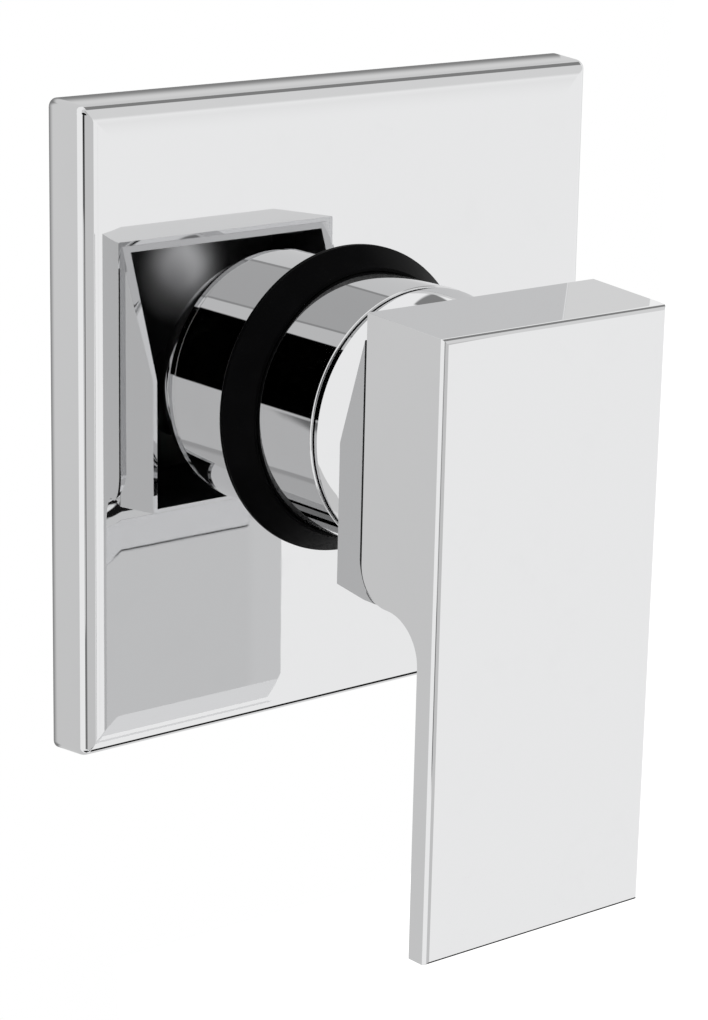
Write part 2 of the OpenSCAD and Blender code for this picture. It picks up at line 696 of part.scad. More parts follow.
wall_plate();
plate_gasket();
sleeve_ring();
sleeve();
dome_cap();
neck_o_rings();
ring_nut();
valve_body();
cartridge_base();
base_seals();
disc_seals();
fixed_disc();
cartridge_housing();
hot_limit_ring();
rotor();
rotor_o_ring();
pivot_pin();
moving_disc();
disc_slider();
spindle();
lever_handle();
grub_screw();
screw_plug();
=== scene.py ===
"""Concealed single-lever shower mixer: the visual model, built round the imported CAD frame.

Lengths are in metres. +X is right, +Y into the wall, +Z up. "Out" is the distance from the wall, along -Y.
"""

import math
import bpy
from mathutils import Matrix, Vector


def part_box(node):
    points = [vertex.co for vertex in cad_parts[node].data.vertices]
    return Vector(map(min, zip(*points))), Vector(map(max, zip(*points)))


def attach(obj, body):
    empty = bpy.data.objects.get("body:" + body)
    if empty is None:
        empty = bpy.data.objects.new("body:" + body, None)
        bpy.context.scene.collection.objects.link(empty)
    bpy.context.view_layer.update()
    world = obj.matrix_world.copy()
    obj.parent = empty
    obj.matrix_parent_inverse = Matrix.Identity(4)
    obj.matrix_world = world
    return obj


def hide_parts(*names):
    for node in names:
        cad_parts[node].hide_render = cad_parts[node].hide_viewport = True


bl_info = {
    "name": "Concealed shower mixer",
    "version": (1, 0, 0),
    "blender": (4, 5, 0),
    "location": "3D View > Sidebar > Mixer",
    "description": "Builds a shower mixer: wall plate, sleeve, cap, lever handle, cartridge and valve body",
    "category": "Object",
}

import bmesh
import bpy
from bpy.props import FloatProperty, FloatVectorProperty, PointerProperty
from mathutils import Matrix, Vector

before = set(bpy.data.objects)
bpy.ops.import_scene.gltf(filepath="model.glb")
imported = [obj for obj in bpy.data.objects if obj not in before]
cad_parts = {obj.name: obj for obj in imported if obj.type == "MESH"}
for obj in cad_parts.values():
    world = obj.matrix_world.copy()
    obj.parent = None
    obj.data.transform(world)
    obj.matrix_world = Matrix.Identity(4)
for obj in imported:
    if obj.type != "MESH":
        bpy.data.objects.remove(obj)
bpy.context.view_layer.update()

MM = 0.001
# How far a cutter reaches past the face that it opens
CUT = 1 * MM


# Sizes and colours

def length(name, description, millimetres):
    """A length that the user may change."""
    return FloatProperty(name=name, description=description, default=millimetres * MM, min=0.0, unit="LENGTH",
                         precision=5)


def angle(name, description, degrees):
    """An angle that the user may change."""
    return FloatProperty(name=name, description=description, default=math.radians(degrees), unit="ROTATION")


def colour(name, description, red, green, blue):
    """A colour that the user may change."""
    return FloatVectorProperty(name=name, description=description, default=(red, green, blue), size=3,
                               min=0.0, max=1.0, subtype="COLOR")


class MixerSizes(bpy.types.PropertyGroup):
    """Sizes of the chromed pieces and the rubber ring"""
    plate_side: length("Plate side", "Side of the square at the wall", 120)
    plate_depth: length("Plate depth", "How far it stands off the wall", 10)
    plate_wall: length("Plate wall", "Thickness of its front and sides", 2.5)
    plate_draft: length("Plate draft", "How much each side leans in", 0.6)
    plate_edge: length("Plate edge", "Rounding of its front edge", 2.7)
    plate_roll: length("Plate roll", "How much the front falls away near its edge", 0.23)
    roll_width: length("Roll width", "Width of the band where it falls away", 5.2)
    plate_corner: length("Plate corner", "Rounding of its corners, from the front", 1.5)
    plate_hole: length("Plate hole", "Radius of its hole", 26.85)
    sleeve_radius: length("Sleeve radius", "Outer radius", 25)
    sleeve_bore: length("Sleeve bore", "Inner radius", 22.5)
    sleeve_front: length("Sleeve front", "Its distance from the wall", 31.1)
    sleeve_back: length("Sleeve back", "How far it reaches into the wall", 6)
    plate_back_edge: length("Plate back edge", "Rounding of its outer edge at the wall", 0.5)
    ring_radius: length("Ring radius", "Outer radius at the plate", 29.3)
    ring_depth: length("Ring depth", "Length of its cone", 5.1)
    ring_rim: length("Ring rim", "Thickness of its rim at the plate", 0.5)
    ring_nose: length("Ring nose", "Width of its narrow front end", 0.6)
    ring_neck: length("Ring neck", "Radius inside the plate's hole", 26.8)
    ring_lip: length("Ring lip", "Radius of the lip behind the plate", 28.5)
    cap_rim: length("Cap rim", "Radius of the rim below the dome", 24.5)
    cap_rim_height: length("Cap rim height", "Its height", 1.5)
    spigot_radius: length("Spigot radius", "Its outer radius", 22.4)
    spigot_wall: length("Spigot wall", "Its wall", 1.2)
    spigot_height: length("Spigot height", "Its length", 5)
    dome_foot: length("Dome foot", "Radius where it starts", 24.86)
    dome_wall: length("Dome wall", "Its wall", 1.5)
    dome_hole: length("Dome hole", "Radius of the spindle's opening", 12.5)
    pivot_out: length("Pivot", "Its distance from the wall", 25)
    handle_front: length("Handle front", "Its distance from the wall", 68)
    handle_half_front: length("Half width at the front", "Half the handle's width there", 26)
    handle_half_back: length("Half width at the back", "Half the block's width there", 26.5)
    head_top: length("Head top", "Its height above the axis", 25.3)
    top_rise: length("Top rise", "How much the top rises towards the back", 1.2)
    head_bottom: length("Head bottom", "How far it reaches below the axis", 25.5)
    block_back: length("Block back", "Its distance from the wall", 48)
    lever_back: length("Lever back", "Its distance from the wall", 63.4)
    lever_drop: length("Lever drop", "How far it reaches below the axis", 88.4)
    under_curve: length("Under curve", "Radius of the curve below the head", 8.4)
    back_curve: length("Back curve", "Radius of the block's lower back corner", 6.8)
    handle_edge: length("Handle edge", "Rounding of the front edges", 1.1)
    fine_edge: length("Fine edge", "Rounding of the other edges", 0.3)
    groove_width: length("Groove width", "Width of the groove behind the block", 1.9)
    groove_depth: length("Groove depth", "Depth of that groove", 0.85)
    hollow_taper: length("Hollow taper", "How much each side of the hollow leans in", 0.6)
    skirt_half: length("Skirt half width", "Half its width at the block", 25.6)
    rim_half: length("Rim half width", "Half the skirt's width there", 24.3)
    skirt_top: length("Skirt top", "Its height above the axis", 25.6)
    rim_out: length("Rim", "Its distance from the wall", 38.5)
    rim_bend: length("Rim bend", "Height where the rim begins to slope", 1)
    skirt_wall: length("Skirt wall", "Its wall at the top and bottom", 1.2)
    side_wall: length("Skirt side wall", "Its wall at the sides, at the rim", 0.9)
    handle_lean: angle("Handle lean", "How far it leans out at its top", 0.4)
    spindle_tilt: angle("Spindle tilt", "How far it leans down when shut", 12.5)
    thread_pitch: length("Thread pitch", "Pitch of the half-inch pipe thread", 1.814)


class MixerColours(bpy.types.PropertyGroup):
    """Colours of the finishes"""
    chrome: colour("Chrome", "Mirror chrome plate", 0.795, 0.797, 0.803)
    rubber: colour("Rubber", "Black rubber ring and seals", 0.0015, 0.0015, 0.0017)
    # Near-black: the unplated inside of the handle, darkened as painted shade in its hollow and in the groove
    # behind the block
    inside: colour("Inside", "Unplated inside of the handle", 0.02, 0.02, 0.021)
    # Thin plating, made bright at one spot high in the hollow as a painted highlight
    plating_and_painted_highlight: colour("Thin plating", "Thin plating inside the handle", 0.95, 0.95, 0.96)
    foam: colour("Foam", "Closed-cell foam gasket", 0.045, 0.045, 0.047)
    brass: colour("Brass", "Cast and machined brass", 0.66, 0.46, 0.19)
    steel: colour("Steel", "Spindle, pin and grub screw", 0.56, 0.57, 0.58)
    white_plastic: colour("White plastic", "Cartridge housing and rotor", 0.8, 0.8, 0.77)
    grey_plastic: colour("Grey plastic", "Cartridge base, slider and plug", 0.32, 0.34, 0.37)
    red_plastic: colour("Red plastic", "Temperature stop ring", 0.55, 0.045, 0.035)
    ceramic: colour("Ceramic", "The two water discs", 0.86, 0.85, 0.8)


# Shader maths

class Value:
    """What an output of a node gives. The usual operators on it add Math nodes."""

    def __init__(self, graph, socket):
        self.graph = graph
        self.socket = socket

    def math(self, operation, *others):
        """What a Math node makes of this value and others."""
        return self.graph.value("ShaderNodeMath", dict(enumerate((self, *others))), operation=operation)

    def __add__(self, other):
        return self.math("ADD", other)

    def __mul__(self, other):
        return self.math("MULTIPLY", other)

    __radd__ = __add__
    __rmul__ = __mul__

    def __sub__(self, other):
        return self.math("SUBTRACT", other)

    def __rsub__(self, other):
        return (self * -1.0) + other

    def __truediv__(self, other):
        return self.math("DIVIDE", other)

    def __rtruediv__(self, other):
        return self.math("POWER", -1.0) * other

    def __neg__(self):
        return self * -1.0

    def step(self, low, high):
        """Smoothly from 0 at low to 1 at high."""
        limits = {"Value": self, "From Min": low, "From Max": high, "To Min": 0.0, "To Max": 1.0}
        return self.graph.value("ShaderNodeMapRange", limits, "Result", interpolation_type="SMOOTHSTEP")


# Sockets of a Mix node that blends colours
MIX_FACTOR, MIX_FIRST, MIX_SECOND, MIX_BLEND = 0, 6, 7, 2


class Graph:
    """Adds nodes to the node tree of a material or of something else."""

    def __init__(self, tree, material=None):
        self.tree = tree
        self.material = material
        tree.nodes.clear()

    def add(self, kind, inputs=None, **settings):
        """A node of the given type: first its settings, then its sockets' values or links."""
        node = self.tree.nodes.new(kind)
        for name, value in settings.items():
            setattr(node, name, value)
        for name, value in (inputs or {}).items():
            if isinstance(value, Value):
                self.tree.links.new(value.socket, node.inputs[name])
            else:
                node.inputs[name].default_value = value
        return node

    def value(self, kind, inputs=None, output=0, **settings):
        """What one output of such a node gives."""
        return Value(self, self.add(kind, inputs, **settings).outputs[output])

    def place(self):
        """The point in the piece's own coordinates."""
        return self.value("ShaderNodeTexCoord", output="Object")

    def axes(self, vector):
        """A vector's X, Y and Z."""
        return [Value(self, part) for part in self.add("ShaderNodeSeparateXYZ", {0: vector}).outputs]

    def measure(self, operation, first, second):
        """What two vectors have between them, such as their distance."""
        return self.value("ShaderNodeVectorMath", {0: first, 1: second}, "Value", operation=operation)

    def ray(self, kind):
        """1 for rays of the given kind."""
        return self.value("ShaderNodeLightPath", output=f"Is {kind} Ray")

    def mirrored(self):
        """1 for what is seen in a reflection or through something clear."""
        return self.ray("Glossy").math("MAXIMUM", self.ray("Transmission"))

    def noise(self, size, detail=2.0, roughness=0.5, stretch=(1.0, 1.0, 1.0)):
        """Noise from 0 to 1 whose features have the given size in metres."""
        place = self.value("ShaderNodeMapping", {"Vector": self.place(), "Scale": stretch})
        inputs = {"Vector": place, "Scale": 1.0 / size, "Detail": detail, "Roughness": roughness}
        return self.value("ShaderNodeTexNoise", inputs)

    def mix(self, factor, first, second):
        """A blend of two colours."""
        inputs = {MIX_FACTOR: factor, MIX_FIRST: opaque(first), MIX_SECOND: opaque(second)}
        return self.value("ShaderNodeMix", inputs, MIX_BLEND, data_type="RGBA")

    def bump(self, height, depth, strength=1.0):
        """A normal bent by a height from 0 to 1 that stands for the given depth in metres."""
        return self.value("ShaderNodeBump", {"Height": height, "Distance": depth, "Strength": strength})


def opaque(tint):
    """A colour with an alpha of 1, or the value that gives one."""
    return tint if isinstance(tint, Value) else (*tint, 1.0)


def surface(name):
    """The graph of a new material, its shaders still to be added."""
    material = bpy.data.materials.new(name)
    material.use_nodes = True
    return Graph(material.node_tree, material)


def close_surface(graph, base, roughness, metallic, normal, **fixed):
    """Adds the Principled shader and the output to a material. fixed holds values that don't vary."""
    inputs = {"Base Color": base, "Roughness": roughness, "Metallic": metallic, "Normal": normal}
    inputs.update({key.replace("_", " "): value for key, value in fixed.items()})
    graph.add("ShaderNodeOutputMaterial", {"Surface": graph.value("ShaderNodeBsdfPrincipled", inputs)})
    return graph.material


def close_clear(graph, factor, shader):
    """Adds the output to a material that is see-through where the factor is 1."""
    clear = graph.value("ShaderNodeBsdfTransparent")
    both = graph.value("ShaderNodeMixShader", {0: factor, 1: shader, 2: clear})
    graph.add("ShaderNodeOutputMaterial", {"Surface": both})
    return graph.material


def shade(rgb, factor):
    """A colour made darker or lighter."""
    return tuple(min(1.0, channel * factor) for channel in rgb)


def chrome_plate(colours):
    """Mirror chrome: faint waviness from the polishing, and thin water marks that blur it a little."""
    graph = surface("chrome_plate")
    marks = graph.noise(9 * MM, 4.0, 0.6).step(0.52, 0.75)
    film = graph.noise(28 * MM, 2.0)
    roughness = 0.012 + marks * 0.02 + film * 0.012
    base = graph.mix(marks * 0.35, colours.chrome, shade(colours.chrome, 0.975))
    waves = graph.noise(7 * MM, 1.0)
    return close_surface(graph, base, roughness, 1.0, graph.bump(waves, 0.0022 * MM))


def black_rubber(colours):
    """Moulded rubber: a soft sheen, with a fine grain and a trace of dust in it."""
    graph = surface("black_rubber")
    grain = graph.noise(0.35 * MM, 3.0, 0.7)
    cloud = graph.noise(6 * MM, 3.0)
    base = graph.mix(cloud.step(0.45, 0.8) * 0.5, colours.rubber, shade(colours.rubber, 2.2))
    return close_surface(graph, base, 0.3 + cloud * 0.12, 0.0, graph.bump(grain, 0.008 * MM, 0.6),
                         Specular_IOR_Level=0.025)


# The painted highlight in the handle's hollow, a spot of thin plating: where it is brightest, how far it is
# full and where it ends
PAINTED_HIGHLIGHT_SPOT = (0.0, -63 * MM, 16 * MM)
PAINTED_HIGHLIGHT_FULL = 3 * MM
PAINTED_HIGHLIGHT_END = 12 * MM


def inside_painted_shade_and_highlight(colours):
    """The handle's inside: dark cast metal, a little rough, made near-black as painted shade in its hollow,
    with thin plating in one place high up whose bright colour is a painted highlight.
    """
    graph = surface("inside_painted_shade_and_highlight")
    grain = graph.noise(0.8 * MM, 4.0, 0.6)
    cloud = graph.noise(9 * MM, 3.0)
    dark = graph.mix(cloud.step(0.3, 0.8), shade(colours.inside, 0.4), colours.inside)
    # A bright spot of thin plating: a painted highlight
    plating_and_highlight = 1.0 - graph.measure("DISTANCE", graph.place(), PAINTED_HIGHLIGHT_SPOT).step(PAINTED_HIGHLIGHT_FULL, PAINTED_HIGHLIGHT_END)
    base = graph.mix(plating_and_highlight, dark, colours.plating_and_painted_highlight)
    return close_surface(graph, base, 0.3 + cloud * 0.2, plating_and_highlight, graph.bump(grain, 0.02 * MM, 0.5),
                         Specular_IOR_Level=0.3)


def closed_foam(colours):
    """Closed-cell foam, cut from sheet."""
    graph = surface("closed_foam")
    cells = graph.value("ShaderNodeTexVoronoi", {"Vector": graph.place(), "Scale": 1.0 / (0.8 * MM)})
    base = graph.mix(cells.step(0.1, 0.6), shade(colours.foam, 0.6), shade(colours.foam, 1.5))
    return close_surface(graph, base, 0.85 + cells * 0.1, 0.0, graph.bump(cells, 0.15 * MM, 0.8))


# The brass is machined at its pipe mouths, from this far off the axis, and on its neck, to this depth
MOUTHS_FROM = 47.2 * MM
NECK_TO = 5.6 * MM


def cast_brass(colours):
    """Sand-cast brass, machined bright on the mouths of its pipe connections and along its neck."""
    graph = surface("cast_brass")
    right, into_wall, up = graph.axes(graph.place())
    mouth = right.math("ABSOLUTE").math("MAXIMUM", up).step(MOUTHS_FROM, MOUTHS_FROM + 0.4 * MM)
    neck = 1.0 - into_wall.step(NECK_TO - 0.6 * MM, NECK_TO)
    machined = mouth.math("MAXIMUM", neck)
    sand = graph.noise(0.9 * MM, 4.0, 0.65)
    stain = graph.noise(11 * MM, 4.0, 0.6)
    rings = graph.noise(0.5 * MM, 1.0, 0.5, (0.05, 1.0, 0.05))
    raw = graph.mix(stain.step(0.35, 0.75), shade(colours.brass, 0.62), shade(colours.brass, 0.92))
    base = graph.mix(machined, raw, shade(colours.brass, 1.18))
    roughness = (0.46 + stain * 0.16) * (1.0 - machined) + (0.2 + rings * 0.08) * machined
    height = sand * (1.0 - machined) + rings * machined * 0.04
    return close_surface(graph, base, roughness, 1.0, graph.bump(height, 0.09 * MM, 0.8))


def turned_brass(colours):
    """Brass with the fine grooves that a lathe leaves."""
    graph = surface("turned_brass")
    lines = graph.noise(0.25 * MM, 1.0, 0.5, (0.04, 1.0, 0.04))
    stain = graph.noise(8 * MM, 3.0)
    base = graph.mix(stain.step(0.4, 0.8) * 0.6, shade(colours.brass, 1.15), shade(colours.brass, 0.85))
    return close_surface(graph, base, 0.2 + lines * 0.1, 1.0, graph.bump(lines, 0.004 * MM, 0.6))


def drawn_steel(colours):
    """Steel with fine lines along the spindle."""
    graph = surface("drawn_steel")
    lines = graph.noise(0.2 * MM, 2.0, 0.6, (1.0, 0.03, 1.0))
    base = graph.mix(lines * 0.5, colours.steel, shade(colours.steel, 0.78))
    return close_surface(graph, base, 0.26 + lines * 0.16, 1.0, graph.bump(lines, 0.003 * MM, 0.6))


def moulded_plastic(name, tint, roughness, grain_size):
    """Injection-moulded plastic: an even colour with slight clouding and a fine eroded grain."""
    graph = surface(name + "_moulded")
    grain = graph.noise(grain_size, 3.0, 0.6)
    cloud = graph.noise(7 * MM, 3.0)
    base = graph.mix(cloud.step(0.35, 0.8) * 0.5, tint, shade(tint, 0.86))
    return close_surface(graph, base, roughness + cloud * 0.12, 0.0, graph.bump(grain, 0.01 * MM, 0.5),
                         Specular_IOR_Level=0.5)


def lapped_ceramic(colours):
    """Sintered ceramic, ground flat and lapped."""
    graph = surface("lapped_ceramic")
    specks = graph.noise(0.3 * MM, 4.0, 0.7)
    base = graph.mix(specks.step(0.55, 0.75) * 0.5, colours.ceramic, shade(colours.ceramic, 0.85))
    return close_surface(graph, base, 0.16 + specks * 0.08, 0.0, graph.bump(specks, 0.002 * MM, 0.5),
                         Coat_Weight=0.25)


# Mesh building

def spot(right, up, out):
    """The point at the given distances right of the axis, above it and out of the wall."""
    return Vector((right, -out, up))


def rounded_outline(corners, steps=8):
    """A closed outline of corners (a, b, radius), each corner rounded by its radius."""
    points = []
    count = len(corners)
    for index, (a, b, radius) in enumerate(corners):
        here = Vector((a, b))
        if radius <= 0.0:
            points.append(here)
            continue
        to_last = (Vector(corners[index - 1][:2]) - here).normalized()
        to_next = (Vector(corners[(index + 1) % count][:2]) - here).normalized()
        half = math.acos(max(-1.0, min(1.0, to_last.dot(to_next)))) / 2
        centre = here + (to_last + to_next).normalized() * (radius / math.sin(half))
        start = here + to_last * (radius / math.tan(half)) - centre
        end = here + to_next * (radius / math.tan(half)) - centre
        sweep = math.pi - 2 * half
        for step in range(steps + 1):
            share = step / steps
            arm = start * math.sin((1 - share) * sweep) + end * math.sin(share * sweep)
            points.append(centre + arm / math.sin(sweep))
    return points


def on_circle(centre, radius, degrees):
    """The point of a circle at an angle."""
    turn = math.radians(degrees)
    return (centre[0] + radius * math.cos(turn), centre[1] + radius * math.sin(turn))


def arc(centre, radius, first, last, steps):
    """Points on an arc, with its angles in degrees."""
    return [on_circle(centre, radius, first + (last - first) * step / steps) for step in range(steps + 1)]


def placed(name, data):
    """A new object in the scene."""
    piece = bpy.data.objects.new(name, data)
    bpy.context.scene.collection.objects.link(piece)
    return piece


def mesh_object(name, build):
    """An object from a bmesh, with its normals made to point outwards."""
    bmesh.ops.recalc_face_normals(build, faces=build.faces[:])
    mesh = bpy.data.meshes.new(name)
    build.to_mesh(mesh)
    build.free()
    return placed(name, mesh)


def band(build, row, after):
    """Faces between two closed rows of points."""
    for index in range(len(row)):
        follow = (index + 1) % len(row)
        build.faces.new((row[index], row[follow], after[follow], after[index]))


def skinned(name, loops):
    """Joins closed loops of equal length in turn, and the last to the first, into a closed surface."""
    build = bmesh.new()
    rows = [[build.verts.new(point) for point in loop] for loop in loops]
    for row, after in zip(rows, rows[1:] + rows[:1]):
        band(build, row, after)
    return mesh_object(name, build)


def revolved(name, outline, steps=180):
    """Revolves a closed outline of (radius, out) about the mixer's axis."""
    turns = [2 * math.pi * step / steps for step in range(steps)]
    rings = [[spot(r * math.cos(turn), r * math.sin(turn), out) for turn in turns] for r, out in outline]
    return skinned(name, rings)


def prism(name, outline, half_width, crease=None):
    """A closed outline of (up, out) made solid across. A fold in each side joins its two crease points."""
    build = bmesh.new()
    sides = []
    for side in (-1, 1):
        sides.append([build.verts.new(spot(side * half_width(out), up, out)) for up, out in outline])
    band(build, *sides)
    for side in sides:
        if crease is None:
            build.faces.new(side)
        else:
            first, second = sorted(crease)
            build.faces.new(side[first:second + 1])
            build.faces.new(side[second:] + side[:first + 1])
    return mesh_object(name, build)


def rod(name, start, end, radius, sides=48):
    """A closed cylinder between two points."""
    build = bmesh.new()
    way = end - start
    turn = way.to_track_quat("Z", "Y").to_matrix().to_4x4()
    bmesh.ops.create_cone(build, cap_ends=True, segments=sides, radius1=radius, radius2=radius,
                          depth=way.length, matrix=Matrix.Translation((start + end) / 2) @ turn)
    return mesh_object(name, build)


def settle(piece):
    """Turns a piece with its modifiers into a plain mesh."""
    shaped = piece.evaluated_get(bpy.context.evaluated_depsgraph_get())
    mesh = bpy.data.meshes.new_from_object(shaped)
    worn = piece.data
    piece.modifiers.clear()
    piece.data = mesh
    bpy.data.meshes.remove(worn)
    mesh.name = piece.name
    return piece


def modified(piece, kind, **settings):
    """A piece with one modifier worked into its mesh."""
    modifier = piece.modifiers.new(kind, kind)
    for name, value in settings.items():
        setattr(modifier, name, value)
    return settle(piece)


def combine(piece, other, operation):
    """Joins another closed mesh to a piece, or cuts it out, and removes the other."""
    modified(piece, "BOOLEAN", operation=operation, solver="EXACT", material_mode="TRANSFER", object=other)
    spent = other.data
    bpy.data.objects.remove(other)
    bpy.data.meshes.remove(spent)
    return piece


def smooth(piece, sharp_degrees=32.0):
    """Smooth shading that breaks at sharp edges. Large faces lead the normals, so that flats stay flat."""
    build = bmesh.new()
    build.from_mesh(piece.data)
    limit = math.radians(sharp_degrees)
    for face in build.faces:
        face.smooth = True
    for edge in build.edges:
        edge.smooth = not (edge.is_manifold and edge.calc_face_angle(0.0) > limit)
    build.to_mesh(piece.data)
    build.free()
    return modified(piece, "WEIGHTED_NORMAL", mode="FACE_AREA", weight=100, keep_sharp=True)


def break_edges(piece, width, segments=3, least_degrees=32.0):
    """Rounds every sharp edge a little."""
    return modified(piece, "BEVEL", width=width, segments=segments, limit_method="ANGLE",
                    angle_limit=math.radians(least_degrees), miter_outer="MITER_ARC")


def whole_copy(node, name, merge_within=0.002 * MM, flat_degrees=0.2):
    """A copy of a CAD node with its triangles merged and its flat faces made whole."""
    build = bmesh.new()
    build.from_mesh(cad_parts[node].data)
    bmesh.ops.remove_doubles(build, verts=build.verts[:], dist=merge_within)
    flat = math.radians(flat_degrees)
    bmesh.ops.dissolve_limit(build, angle_limit=flat, verts=build.verts[:], edges=build.edges[:])
    return mesh_object(name, build)


def put(context, piece, slot, body, *nodes, material=None):
    """Gives a piece its finish, unless it has one, and its body, and lets it stand for CAD nodes."""
    if not piece.data.materials:
        piece.data.materials.append(finish(context, material or slot))
    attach(piece, body)
    if nodes:
        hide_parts(*nodes)
    return piece


def paint(context, slot, *nodes):
    """Gives CAD nodes that stay in view their finish."""
    for node in nodes:
        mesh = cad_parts[node].data
        mesh.materials.clear()
        mesh.materials.append(finish(context, slot))


def shaded(context, slot, body, *nodes, material=None):
    """Stands smooth-shaded copies in for CAD nodes."""
    for node in nodes:
        put(context, smooth(whole_copy(node, node + "_shaded")), slot, body, node, material=material)


# The pieces

def square_loop(half, corner, out, corner_steps=6, side_steps=24):
    """Points round a square with rounded corners, at one distance from the wall."""
    flat = half - corner
    bends = [step * math.pi / 2 / corner_steps for step in range(corner_steps + 1)]
    quarter = [(flat + corner * math.cos(bend), flat + corner * math.sin(bend)) for bend in bends]
    quarter += [(flat - 2 * flat * step / side_steps, half) for step in range(1, side_steps)]
    points = []
    for right, up in ((1, 0), (0, 1), (-1, 0), (0, -1)):
        points += [spot(a * right - b * up, a * up + b * right, out) for a, b in quarter]
    return points


def round_loop(radius, loop, out):
    """Points of a circle that lie in the same directions as the points of another loop."""
    return [spot(*(Vector((point.x, point.z)).normalized() * radius), out) for point in loop]


class MIXER_OT_wall_plate(bpy.types.Operator):
    """Builds the square plate with its rounded front edge and hollow back, and paints its gasket"""
    bl_idname = "mixer.wall_plate"
    bl_label = "Wall plate"

    def execute(self, context):
        size = context.scene.mixer_sizes
        half = size.plate_side / 2
        cavity = size.plate_wall + size.plate_draft
        inner_front = size.plate_depth - size.plate_wall
        soft = 0.25 * MM
        least_corner = 0.3 * MM
        shoulder = size.plate_depth - size.plate_roll
        section = rounded_outline([
            (cavity, inner_front, 0.0), (cavity, 0.0, soft), (0.0, 0.0, size.plate_back_edge),
            (size.plate_draft, shoulder, size.plate_edge),
            (size.plate_draft + size.plate_edge, shoulder, 0.0)], steps=12)
        steps = 10
        for step in range(1, steps + 1):
            left = 1.0 - step / steps
            out = size.plate_depth - size.plate_roll * left ** 2
            section.append((section[-1][0] + size.roll_width / steps, out))
        section.append((half / 2, size.plate_depth))
        loops = []
        for inset, out in section:
            corner = max(size.plate_corner - max(inset - size.plate_draft, 0.0), least_corner)
            loops.append(square_loop(half - inset, corner, out))
        front = loops[-1]
        for radius, out in arc((size.plate_hole + soft, size.plate_depth - soft), soft, 90, 180, steps=4):
            loops.append(round_loop(radius, front, out))
        loops.append(round_loop(size.plate_hole, front, inner_front))
        put(context, smooth(skinned("plate", loops), sharp_degrees=40.0), "chrome", "valve", "wall_plate")
        paint(context, "foam", "plate_gasket")
        return {"FINISHED"}


class MIXER_OT_sleeve(bpy.types.Operator):
    """Builds the chromed sleeve, the rubber ring round it and the domed cap"""
    bl_idname = "mixer.sleeve"
    bl_label = "Sleeve, ring and cap"

    def execute(self, context):
        size = context.scene.mixer_sizes
        face, end = size.plate_depth, size.sleeve_front
        edge = 0.4 * MM
        fine = 0.15 * MM
        back = -size.sleeve_back
        tube = rounded_outline([
            (size.sleeve_bore, back, fine), (size.sleeve_radius, back, fine),
            (size.sleeve_radius, end, edge), (size.sleeve_bore, end, fine)], steps=6)
        put(context, smooth(revolved("chromed_sleeve", tube)), "chrome", "valve", "sleeve")

        snug = 0.05 * MM
        bore = size.sleeve_radius + snug
        inner = face - size.plate_wall
        lip = 1.5 * MM
        rubber = rounded_outline([
            (bore, inner - lip, fine), (size.ring_lip, inner - lip, fine), (size.ring_lip, inner, fine),
            (size.ring_neck, inner, fine), (size.ring_neck, face, fine / 2),
            (size.ring_radius, face, fine), (size.ring_radius, face + size.ring_rim, 3 * fine),
            (bore + size.ring_nose, face + size.ring_depth, 2 * fine),
            (bore, face + size.ring_depth, fine)], steps=8)
        put(context, smooth(revolved("rubber_ring", rubber)), "black_rubber", "valve", "sleeve_ring")

        rise = end + size.cap_rim_height
        outer = math.hypot(size.dome_foot, rise - size.pivot_out)
        first = math.degrees(math.atan2(rise - size.pivot_out, size.dome_foot))
        last = math.degrees(math.acos(size.dome_hole / outer))
        within = outer - size.dome_wall
        low = math.degrees(math.asin((rise - size.pivot_out) / within))
        high = math.degrees(math.acos(size.dome_hole / within))
        spigot_in = size.spigot_radius - size.spigot_wall
        foot = end - size.spigot_height
        slot_in = size.cap_rim - 0.7 * MM
        slot_out = end + 0.35 * MM
        dome = [(spigot_in, foot), (size.spigot_radius, foot), (size.spigot_radius, end), (slot_in, end),
                (slot_in, slot_out), (size.cap_rim, slot_out), (size.cap_rim, rise)]
        dome += arc((0.0, size.pivot_out), outer, first, last, steps=48)
        dome += arc((0.0, size.pivot_out), within, high, low, steps=40)
        dome += [(spigot_in, rise)]
        put(context, smooth(revolved("domed_cap", dome)), "chrome", "valve", "dome_cap")
        return {"FINISHED"}


